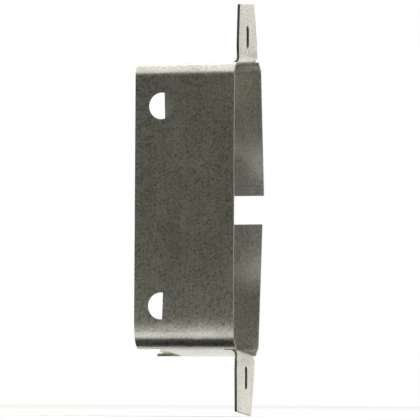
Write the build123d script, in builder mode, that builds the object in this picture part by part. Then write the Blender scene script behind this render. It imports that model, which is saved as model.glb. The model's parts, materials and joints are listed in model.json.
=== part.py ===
"""Electric door strike: sprung sheet housing, ramp-release keeper, solenoid lock.

Frame: origin at the centre of the two jamb screw slots, on the front plane of the ears.
+X points out of the door jamb, +Y across the strike, away from its closed side panel, +Z up.
All lengths are in millimetres and all angles in degrees.
"""
from build123d import *
from math import cos, radians, sin, sqrt, tan
import os

os.makedirs("parts", exist_ok=True)

# ------------------------------------------------------------------ driving dimensions
# Housing: one strip bent into a loop, open at the front and rear
SHEET = 0.8
PANEL_Y = -13.75
PANEL_HEIGHT = 85.8
HOUSING_WIDTH = 31.2
BEND_OUTER_R = 4.0
LOWER_BEND_R = 5.0
BOW_R = 29.0
BOW_ANGLE = 9.0
BOW_Z = -35.9
SPLAY = 5.5
UPPER_WALL_RUN = 28.2
LOWER_WALL_RUN = 26.7
SEAM_HALF = 4.5
SIDE_HOLE_R = 4.05
SIDE_HOLE_X = -23.0
SIDE_HOLE_Z = 30.2
NOTCH_DEPTH = 8.0
NOTCH_CORNER_R = 1.0

# Ears: bent outwards from the front edges of the two walls
UPPER_EAR_LENGTH = 17.5
LOWER_EAR_LENGTH = 18.3
EAR_PARALLEL = 5.5
EAR_TIP_HALF = 7.4
EAR_TIP_R = 0.4
EAR_BEND_INNER_R = 1.6
EAR_SLOT_WIDTH = 2.8
EAR_SLOT_LENGTH = 7.0
EAR_SLOT_Z = 51.7
RELIEF_WIDTH = 1.1
RELIEF_DEPTH = 1.6
UPPER_EAR_CENTRE = 14.95
UPPER_EAR_HALF = 9.5
LOWER_EAR_CENTRE = 13.9
LOWER_EAR_HALF = 9.0

# Chassis: channel with a plate above and below the latch pocket
PLATE = 1.2
PLATE_Z = 16.0
CHASSIS_REAR_X = -30.4
CHASSIS_FRONT_X = -11.0
WEB_Y = 11.8
PLATE_NEAR_Y = -12.2
PLUNGER_HOLE_SPACE = 0.4
RAMP_SEAT_FRONT_X = -4.0
RAMP_SEAT_FAR_Y = -3.5
TAB_REAR_X = -25.0
TAB_FRONT_X = -12.0
TAB_END_Z = 26.0
TAB_SCREW_Z = 21.5
TAB_SCREW_X = (-22.0, -15.0)

# Fasteners: shank and clearance radii; heads as radius, height and driver slot width
SCREW_R = 1.25
SCREW_HOLE_R = 1.35
SMALL_SCREW_R = 1.0
CHASSIS_HEAD = (2.4, 1.6, 0.7)
RAMP_HEAD = (2.1, 1.4, 0.6)
BACK_HEAD = (1.9, 1.2, 0.5)
SOLENOID_HEAD = (2.2, 1.5, 0.6)
CHASSIS_SCREW_LENGTH = 2.2
RAMP_SCREW_LENGTH = 6.2
THREAD_END_SPACE = 0.1
HEAD_EDGE_SHARE = 0.45
DRIVER_DEPTH_SHARE = 0.45
CLIP_NOTCHES = 3
CLIP_NOTCH_START = 100
CLIP_NOTCH_SPAN = 160
CLIP_NOTCH_SHARE = 0.42

# Keeper: gate on a vertical pin, with a tail that the locking lever blocks
KEEPER_X = -16.0
KEEPER_Y = -8.0
KEEPER_PIN_R = 1.5
KEEPER_PIN_END = 1.3
KEEPER_PIN_CHAMFER = 0.25
KEEPER_CLIP_R = 3.0
KEEPER_CLIP_GAP = 2.0
KEEPER_GROOVE_DEPTH = 0.35
BARREL_R = 3.0
GATE_HALF = 8.3
GATE_FACE_Y = -2.6
GATE_ROOT_X = -13.8
GATE_TIP_X = -4.0
GATE_TIP_NEAR_Y = -4.8
GATE_BACK_FRONT = (-5.4, -5.8)
GATE_BACK_REAR = (-13.4, -6.6)
GATE_ON_BARREL = (KEEPER_X - 0.4, KEEPER_Y + 2.9)
KEEPER_LOW_Z = -15.4
TAIL_THICK = 3.0
TAIL_LENGTH = 12.6
TAIL_END_R = 0.5
GATE_TIP_R = 0.7
KEEPER_COIL_R = 2.3
SPRING_HOLE_R = 0.45
SPRING_HOLE_DEPTH = 3.0
RUNNING = 0.05

# Ramps: fixed 45 degree blocks above and below the gate
RAMP_LOW_Z = 8.7
RAMP_REAR_X = -12.6
RAMP_FRONT_X = -0.8
RAMP_NEAR_Y = -12.6
RAMP_FAR_Y = -2.9
RAMP_SCREWS = ((-10.6, -6.0), (-6.0, -10.4))
RAMP_TOP_WIDTH = 2.1
RAMP_CREST_R = 1.0
RAMP_TAP_DEPTH = 5.2

# Solenoid: frame, coil and plunger on one vertical axis behind the pocket
COIL_X = -23.8
COIL_Y = 4.8
FRAME_HALF_X = 6.5
FRAME_HALF_Y = 7.0
FRAME_WALL = 1.5
FRAME_LOW_Z = -10.4
FRAME_TOP_Z = 13.6
FRAME_BEND_R = 1.2
END_PLATE_CORNER_R = 0.8
SOLENOID_SCREW_Z = (7.0, -4.0)
BORE_R = 3.08
PLUNGER_R = 3.0
PLUNGER_TOP_Z = 2.0
PLUNGER_TRAVEL = 1.05
STOP_SPACE = 0.2
STOP_LOW_Z = PLUNGER_TOP_Z + PLUNGER_TRAVEL + STOP_SPACE
STOP_HEAD_R = 4.0
STOP_HEAD_HEIGHT = 0.9
STOP_HEAD_EDGE_R = 0.4

# Locking lever: rocks on a pin under the lower plate
LEVER_PIVOT_Y = 10.8
LEVER_Z = -22.8
LEVER_THICK = 2.0
LEVER_PIN_R = 1.0
LEVER_REAR_X = -28.4
LEVER_FRONT_X = -19.4
NOSE_FRONT_X = -26.2
NOSE_FACE_R = 18.3
NOSE_FAR_Y = -4.7
NOSE_TOP_Z = -15.9
NOSE_WINDOW_Y = (-7.2, -3.2)
NOSE_WINDOW_SPACE = 0.4
LINK_PIN_R = 0.8
LUG_LOW_Z = -24.4
LUG_NEAR_Y = 8.6
LUG_FAR_Y = 12.6
REAR_LUG_X = -30.2
FRONT_LUG_X = -18.8

# Pocket back: shields the coil from the latch
BACK_X = -14.6
BACK_SHEET = 0.8
BACK_NEAR_Y = -1.2
BACK_LIP_Y = (2.0, 8.0)
BACK_LIP_FRONT_X = -11.2
BACK_SCREW = (-12.8, 5.0)

# Terminal block, on the upper plate
BLOCK_REAR_X = -28.0
BLOCK_FRONT_X = -18.5
BLOCK_Y = (0.5, 10.5)
BLOCK_HEIGHT = 8.0
WAY_Y = (3.0, 8.0)
RIVET_R = 0.6
RIVET_HEAD_R = 1.1
RIVET_HEAD_HEIGHT = 0.5
RIVET_EDGE_R = 0.3
LEAD_SLOT_X = (-17.5, -15.5)
LEAD_SLOT_LENGTH = 6.4
LEAD_Y = (4.0, 7.0)
LEAD_R = 0.55
LEAD_X = -16.4
LEAD_LOW_Z = 9.0
LEAD_TOP_Z = 20.6
LEAD_BEND_R = 1.4
LEAD_END_SPACE = 0.2

# Worked out from the values above
HALF_HEIGHT = PANEL_HEIGHT / 2
PLATE_OUTER_Z = PLATE_Z + PLATE
WALL_RUN = {1: UPPER_WALL_RUN, -1: LOWER_WALL_RUN}
EAR_CENTRE = {1: UPPER_EAR_CENTRE, -1: LOWER_EAR_CENTRE}
EAR_HALF = {1: UPPER_EAR_HALF, -1: LOWER_EAR_HALF}
EAR_LENGTH = {1: UPPER_EAR_LENGTH, -1: LOWER_EAR_LENGTH}
SPLAY_COS = cos(radians(SPLAY))
SPLAY_SIN = sin(radians(SPLAY))
UP_AND_DOWN = (1, -1)


# ------------------------------------------------------------------ housing geometry helpers
def wall_direction(side):
    """Direction of the upper (1) or lower (-1) wall, from the closed panel outwards."""
    return Vector(0, SPLAY_COS, side * SPLAY_SIN)


def wall_normal(side):
    """Outward normal of a wall: up for the upper wall, down for the lower one."""
    return Vector(0, -SPLAY_SIN, side * SPLAY_COS)


def near_corner(side):
    """Sharp corner where the outer faces of the closed panel and a wall would meet."""
    return Vector(0, PANEL_Y, side * HALF_HEIGHT)


def far_corner(side):
    """Sharp corner where the outer faces of a wall and its flange would meet."""
    return near_corner(side) + wall_direction(side) * WALL_RUN[side]


def flange_end(side):
    """Free end of a flange's outer face, at the seam."""
    corner = far_corner(side)
    length = (corner.Z * side - SEAM_HALF) / SPLAY_COS
    return corner + Vector(0, SPLAY_SIN, -side * SPLAY_COS) * length


def flange_normal(side):
    """Outward normal of a flange."""
    return Vector(0, SPLAY_COS, side * SPLAY_SIN)


def flange_point(side, z, depth):
    """Point on a flange at height z, depth below its outer face."""
    corner = far_corner(side)
    y = corner.Y + (corner.Z * side - abs(z)) * tan(radians(SPLAY))
    return Vector(0, y - depth / SPLAY_COS, z)


def profile(point):
    """The YZ sketch coordinates of a point."""
    return (point.Y, point.Z)


def wall_plane(side, x):
    """Sketch plane across the housing at x: first axis along a wall, normal to +X."""
    corner = near_corner(side)
    return Plane(origin=(x, corner.Y, corner.Z), x_dir=wall_direction(side), z_dir=(1, 0, 0))


def flange_plane(side, x, z):
    """Sketch plane on a flange's outer face, at one screw."""
    point = flange_point(side, z, 0)
    return Plane(origin=(x, point.Y, point.Z), x_dir=(1, 0, 0), z_dir=flange_normal(side))


# ------------------------------------------------------------------ fastener helpers
def pan_screw(plane, shank_r, length, head):
    """A pan-head screw on a plane: head above it, shank below, with a driver slot."""
    head_r, head_h, slot = head
    with BuildPart() as screw:
        with BuildSketch(plane):
            Circle(head_r)
        extrude(amount=head_h)
        fillet(faces().sort_by(Axis(plane.origin, plane.z_dir))[-1].edges(), head_h * HEAD_EDGE_SHARE)
        with BuildSketch(plane):
            Circle(shank_r)
        extrude(amount=-length)
        with BuildSketch(plane.offset(head_h)):
            Rectangle(3 * head_r, slot)
        extrude(amount=-head_h * DRIVER_DEPTH_SHARE, mode=Mode.SUBTRACT)
    return screw.part


def snap_ring(plane, inner_r, outer_r, thick, gap):
    """An E-clip on a plane: a flat ring, open on one side, with three notches."""
    with BuildPart() as ring:
        with BuildSketch(plane):
            Circle(outer_r)
            Circle(inner_r, mode=Mode.SUBTRACT)
            with Locations((outer_r / 2, 0)):
                Rectangle(outer_r, gap, mode=Mode.SUBTRACT)
            with PolarLocations(
                outer_r, CLIP_NOTCHES, CLIP_NOTCH_START, CLIP_NOTCH_SPAN, endpoint=True
            ):
                Circle((outer_r - inner_r) * CLIP_NOTCH_SHARE, mode=Mode.SUBTRACT)
        extrude(amount=thick)
    return ring.part


# ------------------------------------------------------------------ housing
# The closed panel bows in gently above its lower bend, so that bend's corner lies inwards
bow_drop = BOW_Z + HALF_HEIGHT
bow_shift = bow_drop * tan(radians(BOW_ANGLE)) / (SPLAY_COS - SPLAY_SIN * tan(radians(BOW_ANGLE)))
outline_points = [
    profile(flange_end(1)),
    profile(far_corner(1)),
    profile(near_corner(1)),
    (PANEL_Y, BOW_Z),
    profile(near_corner(-1) + wall_direction(-1) * bow_shift),
    profile(far_corner(-1)),
    profile(flange_end(-1)),
]
outline_radii = [BEND_OUTER_R, BEND_OUTER_R, BOW_R, LOWER_BEND_R, BEND_OUTER_R]

with BuildPart() as housing:
    with BuildSketch(Plane.YZ.offset(-HOUSING_WIDTH)):
        with BuildLine():
            FilletPolyline(*outline_points, radius=outline_radii)
            offset(amount=SHEET, side=Side.LEFT)
        make_face()
    extrude(amount=HOUSING_WIDTH)

    ear_root_x = -(EAR_BEND_INNER_R + SHEET)
    relief_x = ear_root_x - RELIEF_DEPTH
    for side in UP_AND_DOWN:
        # Rear notch between the two bends, and the front gap that the ear stands in
        notch_width = WALL_RUN[side] - 2 * BEND_OUTER_R
        with BuildSketch(wall_plane(side, -HOUSING_WIDTH)):
            with Locations((WALL_RUN[side] / 2, 0)):
                Rectangle(notch_width, 4 * SHEET)
        extrude(amount=NOTCH_DEPTH, mode=Mode.SUBTRACT)
        with BuildSketch(wall_plane(side, relief_x)):
            with Locations((EAR_CENTRE[side], 0)):
                Rectangle(2 * (EAR_HALF[side] + RELIEF_WIDTH), 4 * SHEET)
        extrude(amount=-relief_x, mode=Mode.SUBTRACT)

        # Bend from the wall into the ear
        centre = near_corner(side) + wall_direction(side) * EAR_CENTRE[side]
        bend_axis = Vector(1, 0, 0).cross(wall_normal(side))
        with BuildSketch(Plane(origin=centre, x_dir=(1, 0, 0), z_dir=bend_axis)):
            with BuildLine():
                Line((relief_x, 0), (relief_x, -SHEET))
                Line((relief_x, -SHEET), (ear_root_x, -SHEET))
                RadiusArc((ear_root_x, -SHEET), (0, EAR_BEND_INNER_R), -(EAR_BEND_INNER_R + SHEET))
                Line((0, EAR_BEND_INNER_R), (-SHEET, EAR_BEND_INNER_R))
                RadiusArc((-SHEET, EAR_BEND_INNER_R), (ear_root_x, 0), EAR_BEND_INNER_R)
                Line((ear_root_x, 0), (relief_x, 0))
            make_face()
        extrude(amount=EAR_HALF[side], both=True)

        # Tapered ear with rounded corners
        with BuildSketch(wall_plane(side, -SHEET)) as ear_face:
            half = EAR_HALF[side]
            with Locations((EAR_CENTRE[side], 0)):
                Polygon(
                    (-half, side * EAR_BEND_INNER_R),
                    (half, side * EAR_BEND_INNER_R),
                    (half, side * EAR_PARALLEL),
                    (EAR_TIP_HALF, side * EAR_LENGTH[side]),
                    (-EAR_TIP_HALF, side * EAR_LENGTH[side]),
                    (-half, side * EAR_PARALLEL),
                    align=None,
                )
            tip_corners = ear_face.vertices().sort_by(Axis.Y)
            tip_corners = tip_corners[-2:] if side > 0 else tip_corners[:2]
            fillet(tip_corners, EAR_TIP_R)
        extrude(amount=SHEET)

    # Screw slots in the ears, along Z
    with BuildSketch(Plane.YZ.offset(-2 * SHEET)):
        with Locations((0, EAR_SLOT_Z), (0, -EAR_SLOT_Z)):
            SlotOverall(EAR_SLOT_LENGTH, EAR_SLOT_WIDTH, rotation=90)
    extrude(amount=3 * SHEET, mode=Mode.SUBTRACT)

    # Round holes in the closed side panel
    with BuildSketch(Plane.XZ.offset(-PANEL_Y + SHEET)):
        with Locations((SIDE_HOLE_X, SIDE_HOLE_Z), (SIDE_HOLE_X, -SIDE_HOLE_Z)):
            Circle(SIDE_HOLE_R)
    extrude(amount=-3 * SHEET, mode=Mode.SUBTRACT)

    # Rounded inner corners of the rear notches
    notch_x = NOTCH_DEPTH - HOUSING_WIDTH
    notch_edges = [
        edge
        for edge in housing.edges().filter_by(GeomType.LINE)
        if abs(edge.length - SHEET) < 0.01 and abs(edge.center().X - notch_x) < 0.01
    ]
    fillet(notch_edges, NOTCH_CORNER_R)

    # Clearance holes for the chassis screws
    for side in UP_AND_DOWN:
        for x in TAB_SCREW_X:
            with BuildSketch(flange_plane(side, x, side * TAB_SCREW_Z)):
                Circle(SCREW_HOLE_R)
            extrude(amount=-2 * SHEET, mode=Mode.SUBTRACT)

housing.part.label = "housing"
export_step(housing.part, "parts/housing.step")

# ------------------------------------------------------------------ chassis bracket
web_far_y = WEB_Y + PLATE
chassis_length = CHASSIS_FRONT_X - CHASSIS_REAR_X
tab_length = TAB_FRONT_X - TAB_REAR_X
tab_depth = SHEET + PLATE

with BuildPart() as chassis_bracket:
    with BuildSketch(Plane.YZ.offset(CHASSIS_REAR_X)):
        with Locations((WEB_Y, 0)):
            Rectangle(PLATE, 2 * PLATE_OUTER_Z, align=(Align.MIN, Align.CENTER))
        for side in UP_AND_DOWN:
            with Locations((PLATE_NEAR_Y, side * (PLATE_Z + PLATE / 2))):
                Rectangle(web_far_y - PLATE_NEAR_Y, PLATE, align=(Align.MIN, Align.CENTER))
    extrude(amount=chassis_length)

    # Tabs that lie on the leaning flanges
    for side in UP_AND_DOWN:
        with BuildSketch(Plane.YZ.offset(TAB_REAR_X)):
            Polygon(
                profile(flange_point(side, side * PLATE_Z, tab_depth)),
                profile(flange_point(side, side * PLATE_Z, SHEET)),
                profile(flange_point(side, side * TAB_END_Z, SHEET)),
                profile(flange_point(side, side * TAB_END_Z, tab_depth)),
                align=None,
            )
            Polygon(
                (web_far_y - PLATE, side * PLATE_Z),
                profile(flange_point(side, side * PLATE_Z, SHEET + PLATE / 2)),
                profile(flange_point(side, side * PLATE_OUTER_Z, SHEET + PLATE / 2)),
                (web_far_y - PLATE, side * PLATE_OUTER_Z),
                align=None,
            )
        extrude(amount=tab_length)

    # Seats that reach forwards over and under the ramps
    for side in UP_AND_DOWN:
        with BuildSketch(Plane.XY.offset(side * (PLATE_Z + PLATE / 2))):
            with Locations((CHASSIS_FRONT_X, PLATE_NEAR_Y)):
                Rectangle(
                    RAMP_SEAT_FRONT_X - CHASSIS_FRONT_X,
                    RAMP_SEAT_FAR_Y - PLATE_NEAR_Y,
                    align=(Align.MIN, Align.MIN),
                )
        extrude(amount=PLATE / 2, both=True)

    # Lugs under the lower plate for the locking lever's pin
    for lug_x in (REAR_LUG_X, FRONT_LUG_X):
        with BuildSketch(Plane.YZ.offset(lug_x)):
            with Locations(((LUG_NEAR_Y + LUG_FAR_Y) / 2, LUG_LOW_Z)):
                Rectangle(
                    LUG_FAR_Y - LUG_NEAR_Y,
                    -PLATE_Z - LUG_LOW_Z,
                    align=(Align.CENTER, Align.MIN),
                )
            with Locations((LEVER_PIVOT_Y, LEVER_Z)):
                Circle(LEVER_PIN_R + RUNNING, mode=Mode.SUBTRACT)
        extrude(amount=PLATE)

    # Holes through both plates: keeper pin, ramp screws, pocket back screw
    with BuildSketch(Plane.XY.offset(-PLATE_OUTER_Z)):
        with Locations((KEEPER_X, KEEPER_Y)):
            Circle(KEEPER_PIN_R + RUNNING)
        with Locations(*RAMP_SCREWS, BACK_SCREW):
            Circle(SCREW_HOLE_R)
    extrude(amount=2 * PLATE_OUTER_Z, mode=Mode.SUBTRACT)

    # Lower plate: plunger hole and the window that the lever's nose rises through
    with BuildSketch(Plane.XY.offset(-PLATE_OUTER_Z)):
        with Locations((COIL_X, COIL_Y)):
            Circle(PLUNGER_R + PLUNGER_HOLE_SPACE)
        with Locations((LEVER_REAR_X - NOSE_WINDOW_SPACE, NOSE_WINDOW_Y[0])):
            Rectangle(
                NOSE_FRONT_X - LEVER_REAR_X + 2 * NOSE_WINDOW_SPACE,
                NOSE_WINDOW_Y[1] - NOSE_WINDOW_Y[0],
                align=(Align.MIN, Align.MIN),
            )
    extrude(amount=PLATE, mode=Mode.SUBTRACT)

    # Upper plate: slot for the coil leads, rivet hole and the keeper spring's hole
    with BuildSketch(Plane.XY.offset(PLATE_Z)):
        with Locations((sum(LEAD_SLOT_X) / 2, sum(LEAD_Y) / 2)):
            SlotOverall(LEAD_SLOT_LENGTH, LEAD_SLOT_X[1] - LEAD_SLOT_X[0], rotation=90)
        with Locations(((BLOCK_REAR_X + BLOCK_FRONT_X) / 2, sum(BLOCK_Y) / 2)):
            Circle(RIVET_R)
        with Locations((KEEPER_X - KEEPER_COIL_R, KEEPER_Y)):
            Circle(SPRING_HOLE_R)
    extrude(amount=PLATE, mode=Mode.SUBTRACT)

    # Web: solenoid screw holes; tabs: threaded holes for the chassis screws
    with BuildSketch(Plane.XZ.offset(-WEB_Y)):
        for z in SOLENOID_SCREW_Z:
            with Locations((COIL_X, z)):
                Circle(SCREW_HOLE_R)
    extrude(amount=-PLATE, mode=Mode.SUBTRACT)
    for side in UP_AND_DOWN:
        for x in TAB_SCREW_X:
            with BuildSketch(flange_plane(side, x, side * TAB_SCREW_Z)):
                Circle(SCREW_R)
            extrude(amount=-3 * PLATE, mode=Mode.SUBTRACT)

chassis_bracket.part.label = "chassis_bracket"
export_step(chassis_bracket.part, "parts/chassis_bracket.step")

with BuildPart() as chassis_screws:
    for side in UP_AND_DOWN:
        for x in TAB_SCREW_X:
            seat = flange_plane(side, x, side * TAB_SCREW_Z)
            add(pan_screw(seat, SCREW_R, CHASSIS_SCREW_LENGTH, CHASSIS_HEAD))

chassis_screws.part.label = "chassis_screws"
export_step(chassis_screws.part, "parts/chassis_screws.step")

# ------------------------------------------------------------------ fixed ramps
ramp_outline = (
    (RAMP_REAR_X, RAMP_FAR_Y),
    (RAMP_REAR_X + RAMP_TOP_WIDTH, RAMP_FAR_Y),
    (RAMP_FRONT_X, RAMP_NEAR_Y),
    (RAMP_REAR_X, RAMP_NEAR_Y),
)


def ramp_block(side):
    """The ramp above (1) or below (-1) the gate, tapped from the plate that it hangs on."""
    with BuildPart() as block:
        with BuildSketch(Plane.XY.offset(side * PLATE_Z)):
            Polygon(*ramp_outline, align=None)
        extrude(amount=-side * (PLATE_Z - RAMP_LOW_Z))
        crest = block.edges().filter_by(Axis.Z).group_by(Axis.Y)[-1].sort_by(Axis.X)[-1]
        fillet(crest, RAMP_CREST_R)
        with BuildSketch(Plane.XY.offset(side * PLATE_Z)):
            with Locations(*RAMP_SCREWS):
                Circle(SCREW_R)
        extrude(amount=-side * RAMP_TAP_DEPTH, mode=Mode.SUBTRACT)
    return block.part


upper_ramp = ramp_block(1)
upper_ramp.label = "upper_ramp"
export_step(upper_ramp, "parts/upper_ramp.step")

lower_ramp = ramp_block(-1)
lower_ramp.label = "lower_ramp"
export_step(lower_ramp, "parts/lower_ramp.step")

with BuildPart() as ramp_screws:
    for side in UP_AND_DOWN:
        for x, y in RAMP_SCREWS:
            seat = Plane(origin=(x, y, side * PLATE_OUTER_Z), z_dir=(0, 0, side))
            add(pan_screw(seat, SCREW_R, RAMP_SCREW_LENGTH, RAMP_HEAD))

ramp_screws.part.label = "ramp_screws"
export_step(ramp_screws.part, "parts/ramp_screws.step")

# ------------------------------------------------------------------ keeper and its pin
with BuildPart() as keeper:
    with BuildSketch(Plane.XY.offset(KEEPER_LOW_Z)):
        with Locations((KEEPER_X, KEEPER_Y)):
            Circle(BARREL_R)
    extrude(amount=GATE_HALF - KEEPER_LOW_Z)

    # Gate: the face that holds the latch, with a rounded tip
    with BuildSketch(Plane.XY.offset(-GATE_HALF)) as gate:
        Polygon(
            GATE_ON_BARREL,
            (GATE_ROOT_X, GATE_FACE_Y),
            (GATE_TIP_X, GATE_FACE_Y),
            (GATE_TIP_X, GATE_TIP_NEAR_Y),
            GATE_BACK_FRONT,
            GATE_BACK_REAR,
            (KEEPER_X, KEEPER_Y),
            align=None,
        )
        fillet(gate.vertices().sort_by(Axis.X)[-2:], GATE_TIP_R)
    extrude(amount=2 * GATE_HALF)

    # Tail: runs to the rear over the lower plate
    with BuildSketch(Plane.XY.offset(KEEPER_LOW_Z)):
        with Locations((KEEPER_X, KEEPER_Y)):
            Rectangle(TAIL_LENGTH, TAIL_THICK, align=(Align.MAX, Align.CENTER))
    extrude(amount=TAIL_THICK)
    fillet(keeper.edges().filter_by(Axis.Z).sort_by(Axis.X)[:2], TAIL_END_R)

    # Pin bore, and the blind hole that takes the spring's lower leg
    with BuildSketch(Plane.XY.offset(KEEPER_LOW_Z)):
        with Locations((KEEPER_X, KEEPER_Y)):
            Circle(KEEPER_PIN_R + RUNNING)
    extrude(amount=GATE_HALF - KEEPER_LOW_Z, mode=Mode.SUBTRACT)
    with BuildSketch(Plane.XY.offset(GATE_HALF)):
        with Locations((KEEPER_X + KEEPER_COIL_R, KEEPER_Y)):
            Circle(SPRING_HOLE_R)
    extrude(amount=-SPRING_HOLE_DEPTH, mode=Mode.SUBTRACT)

keeper.part.label = "keeper"
export_step(keeper.part, "parts/keeper.step")

KEEPER_CLIP_Z = PLATE_OUTER_Z + RUNNING
CLIP_THICK = 0.6

with BuildPart() as keeper_pin:
    with BuildSketch(Plane.XY):
        with Locations((KEEPER_X, KEEPER_Y)):
            Circle(KEEPER_PIN_R)
    extrude(amount=PLATE_OUTER_Z + KEEPER_PIN_END, both=True)
    chamfer(keeper_pin.edges().filter_by(GeomType.CIRCLE), KEEPER_PIN_CHAMFER)
    for side in UP_AND_DOWN:
        with BuildSketch(Plane.XY.offset(side * (KEEPER_CLIP_Z + CLIP_THICK / 2))):
            with Locations((KEEPER_X, KEEPER_Y)):
                Circle(2 * KEEPER_PIN_R)
                Circle(KEEPER_PIN_R - KEEPER_GROOVE_DEPTH, mode=Mode.SUBTRACT)
        extrude(amount=CLIP_THICK / 2, both=True, mode=Mode.SUBTRACT)

keeper_pin.part.label = "keeper_pin"
export_step(keeper_pin.part, "parts/keeper_pin.step")

with BuildPart() as keeper_pin_clips:
    for side in UP_AND_DOWN:
        low_z = KEEPER_CLIP_Z if side > 0 else -KEEPER_CLIP_Z - CLIP_THICK
        ring_plane = Plane(origin=(KEEPER_X, KEEPER_Y, low_z), x_dir=(0, -1, 0), z_dir=(0, 0, 1))
        groove_r = KEEPER_PIN_R - KEEPER_GROOVE_DEPTH
        add(snap_ring(ring_plane, groove_r, KEEPER_CLIP_R, CLIP_THICK, KEEPER_CLIP_GAP))

keeper_pin_clips.part.label = "keeper_pin_clips"
export_step(keeper_pin_clips.part, "parts/keeper_pin_clips.step")

# Torsion spring round the pin, with one leg in the keeper and one in the upper plate
KEEPER_WIRE_R = 0.33
KEEPER_COIL_LOW_Z = 9.1
KEEPER_COIL_TURNS = 5.5
KEEPER_COIL_PITCH = 0.95
KEEPER_LEG_DOWN = 3.2
KEEPER_LEG_UP = 2.4
keeper_coil_height = KEEPER_COIL_TURNS * KEEPER_COIL_PITCH

with BuildPart() as keeper_spring:
    coil_base = Plane(origin=(KEEPER_X, KEEPER_Y, KEEPER_COIL_LOW_Z))
    with BuildLine(coil_base):
        coil_line = Helix(KEEPER_COIL_PITCH, keeper_coil_height, KEEPER_COIL_R)
    with BuildSketch(Plane(origin=coil_line @ 0, z_dir=coil_line % 0)):
        Circle(KEEPER_WIRE_R)
    sweep(path=coil_line, is_frenet=True)
    for end, height in ((coil_line @ 0, -KEEPER_LEG_DOWN), (coil_line @ 1, KEEPER_LEG_UP)):
        with BuildSketch(Plane(origin=end)):
            Circle(KEEPER_WIRE_R)
        extrude(amount=height)
        with Locations(end):
            Sphere(KEEPER_WIRE_R)

keeper_spring.part.label = "keeper_spring"
export_step(keeper_spring.part, "parts/keeper_spring.step")

# ------------------------------------------------------------------ pocket back
back_rear_x = BACK_X - BACK_SHEET

with BuildPart() as pocket_back:
    with BuildSketch(Plane.YZ.offset(back_rear_x)):
        with Locations((BACK_NEAR_Y, 0)):
            Rectangle(WEB_Y - BACK_NEAR_Y, 2 * PLATE_Z, align=(Align.MIN, Align.CENTER))
    extrude(amount=BACK_SHEET)
    for side in UP_AND_DOWN:
        with BuildSketch(Plane.XY.offset(side * (PLATE_Z - BACK_SHEET / 2))):
            with Locations((back_rear_x, BACK_LIP_Y[0])):
                Rectangle(
                    BACK_LIP_FRONT_X - back_rear_x,
                    BACK_LIP_Y[1] - BACK_LIP_Y[0],
                    align=(Align.MIN, Align.MIN),
                )
            with Locations(BACK_SCREW):
                Circle(SMALL_SCREW_R, mode=Mode.SUBTRACT)
        extrude(amount=BACK_SHEET / 2, both=True)

pocket_back.part.label = "pocket_back"
export_step(pocket_back.part, "parts/pocket_back.step")

with BuildPart() as pocket_back_screws:
    for side in UP_AND_DOWN:
        seat = Plane(origin=(*BACK_SCREW, side * PLATE_OUTER_Z), z_dir=(0, 0, side))
        add(pan_screw(seat, SMALL_SCREW_R, PLATE + BACK_SHEET - THREAD_END_SPACE, BACK_HEAD))

pocket_back_screws.part.label = "pocket_back_screws"
export_step(pocket_back_screws.part, "parts/pocket_back_screws.step")

# ------------------------------------------------------------------ solenoid
frame_near_y = COIL_Y - FRAME_HALF_Y
frame_height = FRAME_TOP_Z - FRAME_LOW_Z
inner_low_z = FRAME_LOW_Z + FRAME_WALL
inner_top_z = FRAME_TOP_Z - FRAME_WALL
frame_mid_z = (FRAME_LOW_Z + FRAME_TOP_Z) / 2

with BuildPart() as solenoid_frame:
    with BuildSketch(Plane.YZ.offset(COIL_X)):
        with Locations((COIL_Y + FRAME_WALL / 2, frame_mid_z)):
            Rectangle(2 * FRAME_HALF_Y - FRAME_WALL, frame_height)
        with Locations((COIL_Y + FRAME_HALF_Y - FRAME_WALL, frame_mid_z)):
            Rectangle(
                2 * FRAME_HALF_Y,
                frame_height - 2 * FRAME_WALL,
                align=(Align.MAX, Align.CENTER),
                mode=Mode.SUBTRACT,
            )
    extrude(amount=FRAME_HALF_X, both=True)
    outer_bends = solenoid_frame.edges().filter_by(Axis.X).group_by(Axis.Y)[-1]
    fillet(outer_bends, FRAME_BEND_R)
    with BuildSketch(Plane.XY.offset(FRAME_LOW_Z)):
        with Locations((COIL_X, COIL_Y)):
            Circle(BORE_R)
    extrude(amount=frame_height, mode=Mode.SUBTRACT)
    with BuildSketch(Plane.XZ.offset(-WEB_Y)):
        for z in SOLENOID_SCREW_Z:
            with Locations((COIL_X, z)):
                Circle(SCREW_R)
    extrude(amount=FRAME_WALL, mode=Mode.SUBTRACT)

solenoid_frame.part.label = "solenoid_frame"
export_step(solenoid_frame.part, "parts/solenoid_frame.step")

with BuildPart() as solenoid_end_plate:
    with BuildSketch(Plane.XZ.offset(-frame_near_y)):
        with Locations((COIL_X, frame_mid_z)):
            Rectangle(2 * FRAME_HALF_X, frame_height)
    extrude(amount=-FRAME_WALL)
    fillet(solenoid_end_plate.edges().filter_by(Axis.Y), END_PLATE_CORNER_R)

solenoid_end_plate.part.label = "solenoid_end_plate"
export_step(solenoid_end_plate.part, "parts/solenoid_end_plate.step")

BOBBIN_HALF_X = 5.7
BOBBIN_HALF_Y = 5.4
BOBBIN_FLANGE = 1.0
BOBBIN_CORNER_R = 1.5
BOBBIN_SPACE = 0.1
TAPE_MARGIN = 0.1
TUBE_R = 3.9
WINDING_R = 5.0
WRAP_R = 5.3
bobbin_low_z = inner_low_z + BOBBIN_SPACE
bobbin_height = inner_top_z - inner_low_z - 2 * BOBBIN_SPACE
winding_height = bobbin_height - 2 * BOBBIN_FLANGE

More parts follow.
